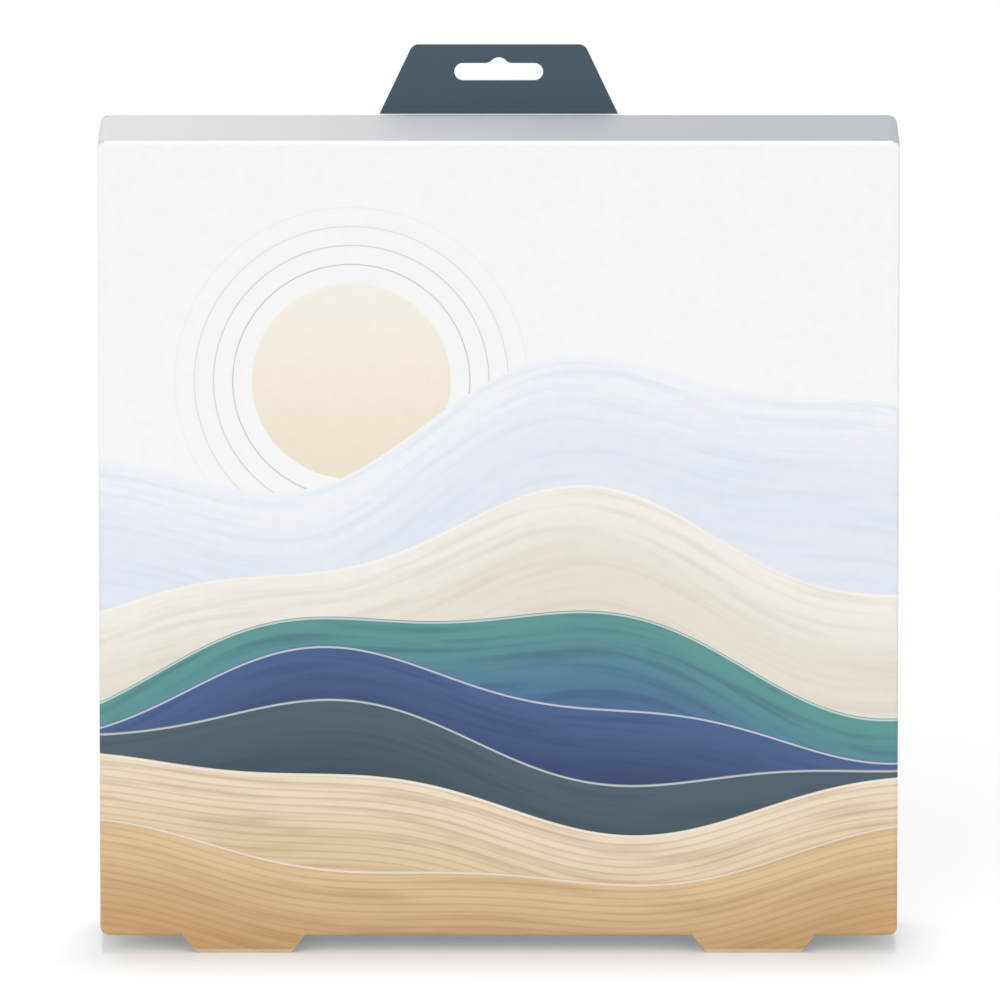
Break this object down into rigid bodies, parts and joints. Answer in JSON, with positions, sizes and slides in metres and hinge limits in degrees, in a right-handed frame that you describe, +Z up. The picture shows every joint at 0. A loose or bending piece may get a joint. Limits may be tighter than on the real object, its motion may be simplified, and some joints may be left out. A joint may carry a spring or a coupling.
{
  "type": "hang-tab carton",
  "caption": "Flat upright folding carton of printed paperboard, closed on all sides, with a slotted hang tab at the top rear edge and short feet under the front and back panels.",
  "frame": {"origin": "centre of the carton's footprint on the floor, at the tips of the feet", "axes": "+X to the right as the printed front is read, +Y from the front panel to the back panel, +Z up"},
  "size_m": [0.25, 0.05, 0.2808],
  "materials": {
    "printed_board": "coated solid paperboard, satin print on the front, bare white cut edges"
  },
  "bodies": {
    "root": {"carton": "printed_board"}
  },
  "joints": []
}
